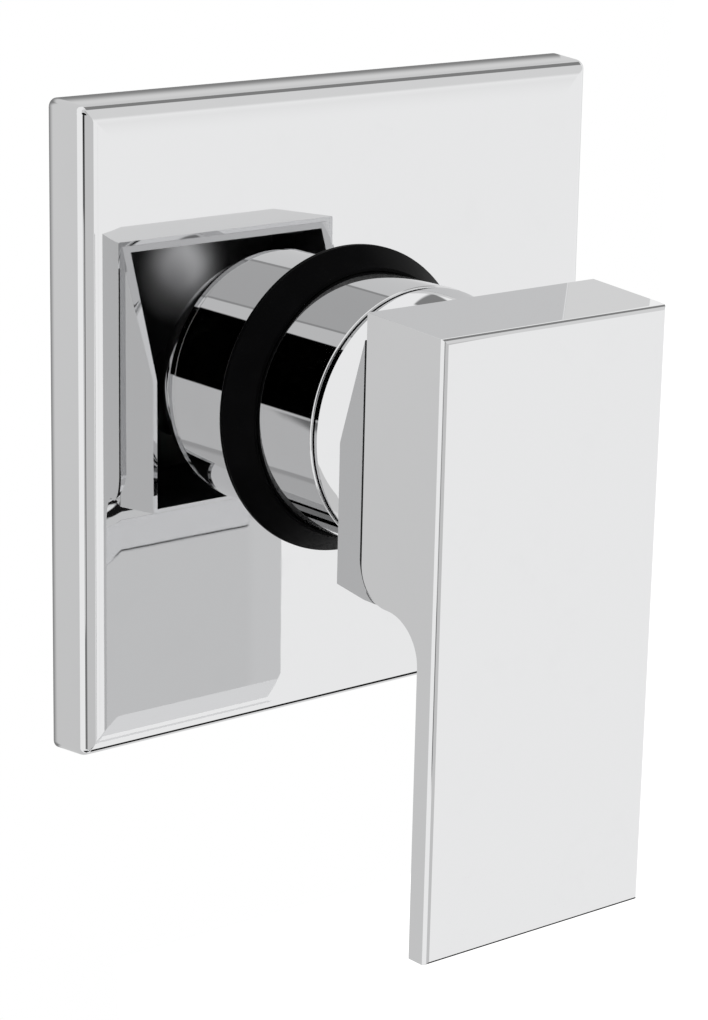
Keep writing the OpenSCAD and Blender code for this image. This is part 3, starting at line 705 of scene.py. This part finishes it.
class MIXER_OT_handle(bpy.types.Operator):
    """Builds the lever handle: head, skirt behind it, hollow with its hub, and flat lever"""
    bl_idname = "mixer.handle"
    bl_label = "Lever handle"

    def execute(self, context):
        size = context.scene.mixer_sizes
        front, back, bottom = size.handle_front, size.block_back, -size.head_bottom
        grow = (size.handle_half_back - size.handle_half_front) / (front - back)
        taper = (size.skirt_half - size.rim_half) / (back - size.rim_out)
        back_top = size.head_top + size.top_rise

        # inside: the near-black finish, painted shade in the hollow, hub, holes and groove, with a painted
        # highlight high in the hollow
        chrome, inside = (finish(context, name) for name in ("chrome", "inside_painted_shade_and_highlight"))
        block = prism("lever", rounded_outline([
            (back_top, back, 0.0), (size.head_top, front, 0.0), (-size.lever_drop, front, 0.0),
            (-size.lever_drop, size.lever_back, 0.0), (bottom, size.lever_back, size.under_curve),
            (bottom, back, size.back_curve)], steps=14),
            lambda out: size.handle_half_front + (front - out) * grow)
        round_front(block, front, size.handle_edge)
        clad(block, chrome)

        overlap = 1.2 * MM
        root = back + size.back_curve + overlap
        top_lip = 0.2 * MM
        rim_lift = 0.4 * MM
        skirt = prism("skirt", [
            (size.skirt_top, back - top_lip), (size.rim_bend, size.rim_out),
            (bottom + rim_lift, size.rim_out), (bottom, back),
            (bottom, root), (size.skirt_top, root), (size.skirt_top, back)],
            lambda out: size.skirt_half - max(back - out, 0.0) * taper, crease=(3, 6))
        combine(block, clad(skirt, chrome), "UNION")

        front_wall = 5 * MM
        floor = front - front_wall
        narrowing = size.hollow_taper
        open_half = size.rim_half - size.side_wall
        high = size.head_top + size.top_rise / 2 - size.skirt_wall
        low = bottom + size.skirt_wall
        mouth = size.rim_out - CUT
        hollow = prism("hollow", [
            (low, mouth), (high, mouth), (high - narrowing, floor), (low + narrowing, floor)],
            lambda out: open_half - narrowing * (out - mouth) / (floor - mouth))
        combine(block, clad(hollow, inside), "DIFFERENCE")
        pivot = spot(0.0, 0.0, size.pivot_out)
        turn = Matrix.Rotation(size.handle_lean, 4, "X")
        lean = Matrix.Translation(pivot) @ turn @ Matrix.Translation(-pivot)
        block.data.transform(lean)

        tilt = size.spindle_tilt
        along = spot(0.0, -math.sin(tilt), math.cos(tilt))
        down = spot(0.0, -math.cos(tilt), -math.sin(tilt))
        hub_radius = 9.5 * MM
        hub_from = 27.5 * MM
        hub_length = (floor - size.pivot_out + hub_radius * math.sin(tilt)) / math.cos(tilt) - hub_from
        hub_start = pivot + along * hub_from
        hub = rod("hub", hub_start, hub_start + along * hub_length, hub_radius, sides=64)
        combine(block, clad(hub, inside), "UNION")
        socket_from, socket_to, socket_half = 26 * MM, 38.1 * MM, 4.05 * MM
        grub_at, grub_hole = 33 * MM, 2.55 * MM
        plug_from, plug_to, plug_hole = 10.5 * MM, 40 * MM, 3.25 * MM
        grub = pivot + along * grub_at
        mouth = grub + down * plug_from
        for cutter in (spindle_socket(pivot, along, down, socket_from, socket_to, socket_half),
                       rod("grub_hole", grub, mouth, grub_hole),
                       rod("plug_hole", mouth, grub + down * plug_to, plug_hole)):
            combine(block, clad(cutter, inside), "DIFFERENCE")
        break_edges(block, size.fine_edge)
        for bar in groove_bars(size, chrome, inside):
            bar.data.transform(lean)
            combine(block, bar, "DIFFERENCE")
        block.name = "handle"
        put(context, smooth(block, sharp_degrees=40.0), "chrome", "lever", "lever_handle")
        paint(context, "grey_plastic", "screw_plug")
        return {"FINISHED"}


def clad(piece, material):
    """Adds a material to a piece and returns the piece."""
    piece.data.materials.append(material)
    return piece


def round_front(block, front, width):
    """Rounds the edges round the block's front face."""
    build = bmesh.new()
    build.from_mesh(block.data)
    near = 0.01 * MM
    rim = [edge for edge in build.edges if all(abs(vert.co.y + front) < near for vert in edge.verts)]
    bmesh.ops.bevel(build, geom=rim, offset=width, offset_type="OFFSET", segments=8, profile=0.5,
                    affect="EDGES", clamp_overlap=False)
    build.to_mesh(block.data)
    build.free()


def groove_bars(size, chrome, inside):
    """Two bars that cut the groove behind the block into the skirt's sides. Its far wall is left dark, a
    painted shade in the groove.
    """
    steps = 14
    bite = 0.02 * MM
    proud = 0.05 * MM
    narrowing = size.groove_width * 0.9
    centre = (-size.head_bottom + size.back_curve, size.block_back + size.back_curve)
    near = size.back_curve - bite
    far = size.back_curve + size.groove_width
    top = size.skirt_top + CUT
    outline = [(top, centre[1] - far)]
    for step in range(steps + 1):
        outline.append(on_circle(centre, far - narrowing * step / steps, -90 - 90 * step / steps))
    outline += reversed([(top, centre[1] - near)] + arc(centre, near, -90, -180, steps))
    bars = []
    for side in (-1, 1):
        bar = prism("groove", outline, lambda out: size.groove_depth / 2)
        middle = size.skirt_half + proud - size.groove_depth / 2
        bar.data.transform(Matrix.Translation((side * middle, 0.0, 0.0)))
        clad(clad(bar, chrome), inside)
        # The far wall takes the near-black finish: painted shade in the groove
        for face in bar.data.polygons[:steps + 1]:
            face.material_index = 1
        bars.append(bar)
    return bars


def spindle_socket(pivot, along, down, start, end, half):
    """The square bar that cuts the spindle's socket."""
    build = bmesh.new()
    ends = []
    for reach in (start, end):
        middle = pivot + along * reach
        ends.append([build.verts.new(middle + Vector((half * a, 0.0, 0.0)) + down * half * b)
                     for a, b in ((-1, -1), (1, -1), (1, 1), (-1, 1))])
    band(build, *ends)
    for loop in ends:
        build.faces.new(loop)
    return mesh_object("socket", build)


class MIXER_OT_valve_body(bpy.types.Operator):
    """Builds the brass valve body, with helical threads in its three pipe connections"""
    bl_idname = "mixer.valve_body"
    bl_label = "Valve body"

    def execute(self, context):
        size = context.scene.mixer_sizes
        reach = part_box("valve_body")[1].z
        minor = 9.3 * MM
        major = 10.3 * MM
        depth = 14 * MM
        pipe_y = 26 * MM
        body = whole_copy("valve_body", "brass_body")
        pipe = (reach, depth, pipe_y, minor, major)
        widen_bores(body, *pipe)
        put(context, smooth(body), "brass", "valve", "valve_body")
        brass = finish(context, "brass")
        ridges = helical_threads(thread_tree(*pipe, size.thread_pitch, brass))
        put(context, ridges, "brass", "valve")
        return {"FINISHED"}


def widen_bores(body, reach, depth, pipe_y, minor, major):
    """Opens the three pipe bores from the thread's crests out to its roots."""
    near = 0.03 * MM
    for vert in body.data.vertices:
        point = vert.co
        if abs(point.x) > reach - depth - near:
            side = Vector((0.0, point.y - pipe_y, point.z))
        elif point.z > reach - depth - near:
            side = Vector((point.x, point.y - pipe_y, 0.0))
        else:
            continue
        if abs(side.length - minor) < near:
            vert.co = point + side * (major / minor - 1.0)


def thread_tree(reach, depth, pipe_y, minor, major, pitch, material):
    """Geometry nodes for one helical ridge, set in each of the three pipe connections."""
    tree = bpy.data.node_groups.new("pipe_threads", "GeometryNodeTree")
    inputs = (("Reach", reach), ("Thread length", depth), ("Pipe depth", pipe_y), ("Crest radius", minor),
              ("Root radius", major), ("Pitch", pitch))
    for name, value in inputs:
        tree.interface.new_socket(name, in_out="INPUT", socket_type="NodeSocketFloat").default_value = value
    dress = tree.interface.new_socket("Finish", in_out="INPUT", socket_type="NodeSocketMaterial")
    dress.default_value = material
    tree.interface.new_socket("Geometry", in_out="OUTPUT", socket_type="NodeSocketGeometry")
    graph = Graph(tree)
    given = graph.add("NodeGroupInput").outputs
    reach, depth, pipe_y, minor, major, pitch = (Value(graph, given[name]) for name, _ in inputs)

    sunk = 0.1 * MM
    ridge = major - minor + sunk
    middle = (major + minor) / 2.0 + sunk / 2
    helix = graph.value("GeometryNodeCurveSpiral", {
        "Resolution": 48, "Rotations": (depth - pitch) / pitch, "Start Radius": middle, "End Radius": middle,
        "Height": depth - pitch})
    outline = graph.value("GeometryNodeCurvePrimitiveCircle", {
        "Resolution": 6, "Radius": ridge / 2.0}, mode="RADIUS")
    sweep = graph.value("GeometryNodeCurveToMesh", {
        "Curve": helix, "Profile Curve": outline, "Fill Caps": True})
    lift = graph.value("ShaderNodeCombineXYZ", {"Z": pitch / 2.0 - depth})
    ridge_at = graph.value("GeometryNodeTransform", {"Geometry": sweep, "Translation": lift})

    spots = graph.value("GeometryNodeMeshCircle", {"Vertices": 4, "Radius": reach}, fill_type="NONE")
    last_one = graph.value("FunctionNodeCompare", {0: graph.value("GeometryNodeInputIndex"), 1: 2.5},
                           data_type="FLOAT", operation="GREATER_THAN")
    three = graph.value("GeometryNodeDeleteGeometry", {
        "Geometry": spots, "Selection": last_one}, domain="POINT")
    place = graph.value("GeometryNodeInputPosition")
    aim = graph.value("FunctionNodeAlignRotationToVector", {"Vector": place}, axis="Z")
    copies = graph.value("GeometryNodeInstanceOnPoints", {
        "Points": three, "Instance": ridge_at, "Rotation": aim})
    into_wall = graph.value("ShaderNodeCombineXYZ", {"Y": pipe_y})
    upright = graph.value("GeometryNodeTransform", {
        "Geometry": copies, "Translation": into_wall, "Rotation": (math.pi / 2, 0.0, 0.0)})
    real = graph.value("GeometryNodeRealizeInstances", {"Geometry": upright})
    dressed = graph.value("GeometryNodeSetMaterial", {
        "Geometry": real, "Material": Value(graph, given["Finish"])})
    graph.add("NodeGroupOutput", {"Geometry": dressed})
    return tree


def helical_threads(tree):
    """The ridges of the three pipe threads as one piece."""
    piece = placed("pipe_threads", bpy.data.meshes.new("pipe_threads"))
    modifier = piece.modifiers.new("threads", "NODES")
    modifier.node_group = tree
    for item in tree.interface.items_tree:
        if item.in_out == "INPUT" and item.socket_type != "NodeSocketGeometry":
            modifier[item.identifier] = item.default_value
    return smooth(settle(piece), sharp_degrees=70.0)


class MIXER_OT_cartridge(bpy.types.Operator):
    """Gives the cartridge, seals, ring nut, spindle and small fasteners their finishes"""
    bl_idname = "mixer.cartridge"
    bl_label = "Cartridge and spindle"

    def execute(self, context):
        shaded(context, "brass", "valve", "ring_nut", material="turned_brass")
        for slot, body, *nodes in (
                ("black_rubber", "valve", "neck_o_rings", "base_seals", "disc_seals"),
                ("grey_plastic", "valve", "cartridge_base"),
                ("ceramic", "valve", "fixed_disc"),
                ("white_plastic", "valve", "cartridge_housing"),
                ("red_plastic", "valve", "hot_limit_ring"),
                ("white_plastic", "rotor", "rotor"),
                ("black_rubber", "rotor", "rotor_o_ring"),
                ("steel", "rotor", "pivot_pin"),
                ("ceramic", "disc", "moving_disc"),
                ("grey_plastic", "disc", "disc_slider"),
                ("steel", "lever", "spindle", "grub_screw")):
            shaded(context, slot, body, *nodes)
        return {"FINISHED"}


# The stage

# Where the camera stands, its turn, drop and roll in degrees, and its lens in millimetres
CAMERA_PLACE = (-362.93 * MM, -459.25 * MM, 138.48 * MM)
CAMERA_TURNS = (39.1157, 15.5101, 1.0713)
CAMERA_LENS = 111.23
LAMP_PLACE = Vector((-0.5, -0.9, 1.1))
# Left of this the strip of wall reaches further down
WALL_SPLIT = -45 * MM


def flat_sheet(name, corners, material):
    """A one-sided rectangle of the stage."""
    mesh = bpy.data.meshes.new(name)
    mesh.from_pydata([Vector(corner) for corner in corners], [], [(0, 1, 2, 3)])
    mesh.materials.append(material)
    placed(name, mesh)


def wall_finish():
    """The strip of wall round the plate: white to the camera, grey in the chrome, and open from behind."""
    graph = surface("wall")
    seen = graph.ray("Camera")
    right, _, height = graph.axes(graph.place())
    half = 60 * MM
    seam = 1 * MM
    fade = 4 * MM
    off = right.math("ABSOLUTE").math("MAXIMUM", height.math("ABSOLUTE"))
    beyond = off.step(half + 0.4 * seam, half + 1.6 * seam)
    upper = height.step(-half, half)
    below = right.step(WALL_SPLIT - 0.75 * fade, WALL_SPLIT + 0.25 * fade) * (
        1.0 - height.step(-half - seam, -half + seam))
    aside = right.step(half + fade, half + 2 * fade)
    # The wall's grey in the chrome, a glow that stands for its lit surface: a little lighter towards the top,
    # below the plate right of the split and right of the plate, and darker behind the plate and just round
    # its edge, a painted shade
    grey = (0.665 + upper * 0.04 + below * 0.12 + aside * 0.04) * (0.35 + beyond * 0.65)
    level = seen + (1.0 - seen) * grey
    glow = graph.value("ShaderNodeEmission", {"Strength": level})
    behind = graph.value("ShaderNodeNewGeometry", output="Backfacing")
    return close_clear(graph, behind.math("MAXIMUM", graph.ray("Shadow")), glow)


def floor_finish():
    """Pale floor that keeps the object's shadow. Chrome looks through it to the studio."""
    graph = surface("floor")
    pale = graph.value("ShaderNodeBsdfDiffuse", {"Color": (0.9, 0.9, 0.9, 1.0)})
    lift = graph.value("ShaderNodeEmission", {"Strength": graph.ray("Camera") * 0.36})
    matt = graph.value("ShaderNodeAddShader", {0: pale, 1: lift})
    return close_clear(graph, graph.mirrored(), matt)


# Grey panels in the chrome, later over earlier: left, right, bottom, top in degrees, softness, brightness
PANELS = (
    (-41, 24.5, -34, 30, 1, 0.64),
    (-60, 28, 29.5, 75, 1.5, 0.72),
    (-13.2, 28.4, 28.6, 66, 0.5, 0.36),
    (-11.8, 27, 30, 64, 0.5, 0.53),
    (-42, 10, -37, -34.3, 0.6, 0.42),
    (-20, 28, -60, -36.5, 1.5, 0.55),
    (2.5, 24, -44, -35, 1, 0.12),
    (10, 14, -43, -36, 0.8, 0.3),
    (-55, -40, -20.5, -5, 0.8, 0.2),
    (-53.6, -47.8, -17.5, -10.5, 0.5, 0.64),
    (76, 122, 42, 62, 3, 0.25),
    (72, 138, -58, -31, 2, 0.01),
    (140, 181, -52, -27, 0.8, 0.36),
    (-181, -165, -52, -27, 0.8, 0.5),
    (176.6, 181, -52, -27, 0.3, 0.5),
    (166, 173.4, -52, -27, 0.3, 0.25),
    (173.2, 176.2, -52, -27, 0.4, 0),
    (159.8, 165.6, -52, -27, 0.4, 0),
    (-80, -35, -91, -47, 1, 0.02),
    (-35, 45, -91, -62, 1, 0.02),
)
# Black openings: azimuth and elevation of the middle, radius and softness
OPENINGS = (
    (-38, 18, 21, 0.6),
    (-46, -5, 5, 1),
)


def towards(azimuth, elevation):
    """The direction at an azimuth, positive to the right of straight ahead, and an elevation."""
    turn, lift = math.radians(azimuth), math.radians(elevation)
    return (math.sin(turn) * math.cos(lift), -math.cos(turn) * math.cos(lift), math.sin(lift))


def studio(world):
    """White studio. The chrome sees grey panels and black openings in it, as in a product photograph."""
    world.use_nodes = True
    graph = Graph(world.node_tree)
    way = graph.value("ShaderNodeTexCoord", output="Generated")
    across, into_wall, upward = graph.axes(way)
    azimuth = across.math("ARCTAN2", -into_wall) * math.degrees(1.0)
    elevation = upward.math("ARCSINE") * math.degrees(1.0)

    def beside(azimuth, elevation, reach, soft):
        """1 within the given degrees of a direction, falling to 0 over a soft margin."""
        near = graph.measure("DOT_PRODUCT", way, towards(azimuth, elevation))
        return near.step(math.cos(math.radians(reach + soft)), math.cos(math.radians(reach)))

    def between(angle, low, high, soft):
        """1 where an angle lies between two limits, falling to 0 over a soft margin outside them."""
        return angle.step(low - soft, low) * (1.0 - angle.step(high, high + soft))

    dim_side = between(azimuth, 20.0, 75.0, 12.0) * elevation.step(-6.0, 8.0)
    level = 1.0 - dim_side * 0.22
    for left, right, bottom, top, soft, shade_there in PANELS:
        cover = between(azimuth, left, right, soft) * between(elevation, bottom, top, soft)
        level = level * (1.0 - cover) + cover * shade_there
    for middle, height, reach, soft in OPENINGS:
        level = level * (1.0 - beside(middle, height, reach, soft))
    mirrored, seen = graph.mirrored(), graph.ray("Camera")
    plain = 0.62 + upward.step(-0.2, 0.9) * 0.25
    level = seen + (1.0 - seen) * (mirrored * level + (1.0 - mirrored) * plain)
    background = graph.value("ShaderNodeBackground", {"Color": (1.0, 1.0, 1.0, 1.0), "Strength": level})
    graph.add("ShaderNodeOutputWorld", {"Surface": background})


class MIXER_OT_stage(bpy.types.Operator):
    """Sets the camera, the floor, the strip of wall, the studio and its soft lamp"""
    bl_idname = "mixer.stage"
    bl_label = "Stage"

    def execute(self, context):
        scene = context.scene
        lens = bpy.data.cameras.new("photo_camera")
        lens.sensor_width = 36.0
        lens.lens = CAMERA_LENS
        lens.clip_start = 0.01
        lens.clip_end = 100.0
        camera = placed("photo_camera", lens)
        turn, drop, roll = (math.radians(degrees) for degrees in CAMERA_TURNS)
        camera.matrix_world = (Matrix.Translation(CAMERA_PLACE) @ Matrix.Rotation(-turn, 4, "Z")
                               @ Matrix.Rotation(math.pi / 2 - drop, 4, "X") @ Matrix.Rotation(roll, 4, "Z"))
        scene.camera = camera

        low = -350 * MM
        wide = 4.0
        flat_sheet("floor", ((-wide, -wide, low), (wide, -wide, low), (wide, wide, low),
                             (-wide, wide, low)), floor_finish())
        wall = wall_finish()
        behind, top = 0.3 * MM, 82 * MM
        for name, left, right, bottom in (("wall_left", -112 * MM, WALL_SPLIT, -136 * MM),
                                          ("wall_right", WALL_SPLIT, 92 * MM, -106 * MM)):
            flat_sheet(name, ((left, behind, bottom), (right, behind, bottom), (right, behind, top),
                              (left, behind, top)), wall)

        scene.world = scene.world or bpy.data.worlds.new("studio")
        studio(scene.world)
        lamp = bpy.data.lights.new("soft_box", "AREA")
        lamp.shape = "RECTANGLE"
        lamp.size = 0.9
        lamp.size_y = 0.6
        lamp.energy = 5.0
        box = placed("soft_box", lamp)
        aim = LAMP_PLACE.to_track_quat("Z", "Y").to_matrix().to_4x4()
        box.matrix_world = Matrix.Translation(LAMP_PLACE) @ aim
        box.visible_glossy = False
        scene.view_settings.view_transform = "Standard"
        return {"FINISHED"}


class MIXER_PT_panel(bpy.types.Panel):
    """Lists the pieces of the mixer, with their sizes and colours"""
    bl_idname = "MIXER_PT_panel"
    bl_label = "Concealed shower mixer"
    bl_space_type = "VIEW_3D"
    bl_region_type = "UI"
    bl_category = "Mixer"

    def draw(self, context):
        for operator in OPERATORS:
            self.layout.operator(operator.bl_idname)
        for group in (context.scene.mixer_sizes, context.scene.mixer_colours):
            column = self.layout.column(align=True)
            for name in group.__annotations__:
                column.prop(group, name)


FINISHES = {
    "chrome": chrome_plate,
    "black_rubber": black_rubber,
    # The handle's inside: painted shade, with a painted highlight
    "inside_painted_shade_and_highlight": inside_painted_shade_and_highlight,
    "foam": closed_foam,
    "brass": cast_brass,
    "turned_brass": turned_brass,
    "steel": drawn_steel,
    "white_plastic": lambda colours: moulded_plastic("white_plastic", colours.white_plastic, 0.42, 0.4 * MM),
    "grey_plastic": lambda colours: moulded_plastic("grey_plastic", colours.grey_plastic, 0.5, 0.3 * MM),
    "red_plastic": lambda colours: moulded_plastic("red_plastic", colours.red_plastic, 0.38, 0.5 * MM),
    "ceramic": lapped_ceramic,
}
MADE = {}


def finish(context, name):
    """The named material, made when it is first asked for."""
    if name not in MADE:
        MADE[name] = FINISHES[name](context.scene.mixer_colours)
    return MADE[name]


OPERATORS = (MIXER_OT_wall_plate, MIXER_OT_sleeve, MIXER_OT_handle, MIXER_OT_valve_body, MIXER_OT_cartridge,
             MIXER_OT_stage)
CLASSES = (MixerSizes, MixerColours) + OPERATORS + (MIXER_PT_panel,)


def register():
    """Registers the classes and hangs the settings on the scene."""
    for item in CLASSES:
        bpy.utils.register_class(item)
    bpy.types.Scene.mixer_sizes = PointerProperty(type=MixerSizes)
    bpy.types.Scene.mixer_colours = PointerProperty(type=MixerColours)


def unregister():
    """Takes the settings and the classes away again."""
    del bpy.types.Scene.mixer_colours
    del bpy.types.Scene.mixer_sizes
    for item in reversed(CLASSES):
        bpy.utils.unregister_class(item)


def main():
    """Builds every piece in turn."""
    register()
    bpy.ops.mixer.wall_plate()
    bpy.ops.mixer.sleeve()
    bpy.ops.mixer.handle()
    bpy.ops.mixer.valve_body()
    bpy.ops.mixer.cartridge()
    bpy.ops.mixer.stage()


if __name__ == "__main__":
    main()
